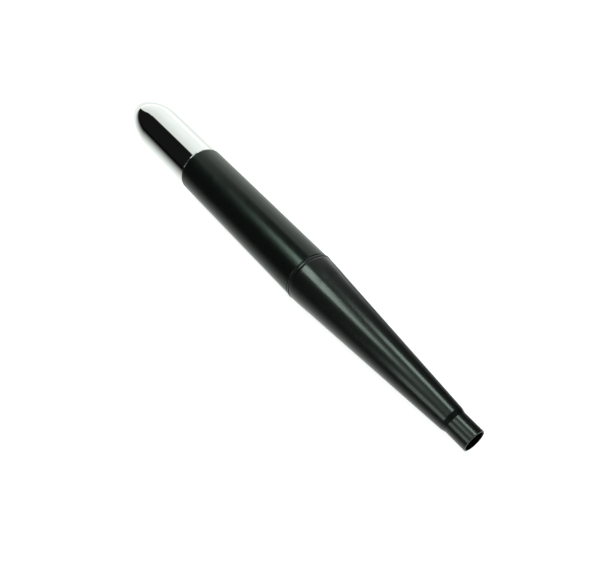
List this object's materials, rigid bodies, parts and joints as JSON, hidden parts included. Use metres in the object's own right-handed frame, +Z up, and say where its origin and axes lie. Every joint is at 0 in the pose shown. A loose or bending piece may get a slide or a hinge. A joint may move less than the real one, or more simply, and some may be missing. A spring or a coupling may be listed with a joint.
{
  "type": "lens cleaning pen",
  "caption": "Slim round lens cleaning pen with a domed metal pull-off cap over a carbon tip, a straight grip sleeve, and a tapered twist barrel that drives a brush out of its mouth.",
  "frame": {"origin": "on the pen's axis, halfway along the straight grip sleeve", "axes": "+X along the pen toward the brush mouth, +Z up with the pen lying level"},
  "size_m": [0.1299, 0.0126, 0.0126],
  "materials": {
    "sleeve_black": "satin black anodised",
    "barrel_black": "semi-gloss black lacquer",
    "mirror_chrome": "mirror",
    "satin_aluminium": "satin turned",
    "spring_steel": "bright",
    "socket_brass": "turned",
    "ferrule_metal": "bright nickel",
    "black_plastic": "fine moulded",
    "pale_plastic": "natural acetal",
    "black_rubber": "matte",
    "pad_suede": "napped suede with carbon dust",
    "carbon_felt": "dense felt",
    "dark_bristle": "soft hair"
  },
  "bodies": {
    "handle": {"grip_sleeve": "sleeve_black", "cam_tube": "pale_plastic", "tip_socket": "black_plastic", "tip_stem": "satin_aluminium", "tip_neck": "black_rubber", "tip_head": "black_plastic", "cleaning_pad": "pad_suede"},
    "cap_ring": {"spigot_ring": "black_rubber"},
    "cap": {"cap_shell": "mirror_chrome", "cap_liner": "black_plastic", "pad_cup": "black_plastic", "carbon_pad": "carbon_felt"},
    "barrel": {"collar_ring": "barrel_black", "front_barrel": "barrel_black", "barrel_insert": "black_plastic", "rod_guide": "pale_plastic", "drive_tube": "pale_plastic", "retaining_clip": "spring_steel", "drag_ring": "black_rubber", "thrust_washer": "pale_plastic"},
    "brush": {"cam_follower": "pale_plastic", "follower_pins": "spring_steel", "push_rod": "satin_aluminium", "ferrule_socket": "socket_brass", "ferrule": "ferrule_metal", "bristle_tuft": "dark_bristle"}
  },
  "joints": [
    {"name": "cap_turn", "type": "hinge", "parent": "handle", "child": "cap_ring", "pos_m": [-0.0255, 0, 0], "axis": [1, 0, 0], "continuous": true},
    {"name": "cap_pull", "type": "slide", "parent": "cap_ring", "child": "cap", "axis": [-1, 0, 0], "range_m": [0, 0.027]},
    {"name": "barrel_twist", "type": "hinge", "parent": "handle", "child": "barrel", "pos_m": [0.0225, 0, 0], "axis": [1, 0, 0], "range_deg": [0, 360]},
    {"name": "brush_slide", "type": "slide", "parent": "barrel", "child": "brush", "axis": [1, 0, 0], "range_m": [0, 0.0165]}
  ],
  "couplings": [
    {"joint": "brush_slide", "follows": "barrel_twist", "m_per_rad": 0.002626}
  ]
}
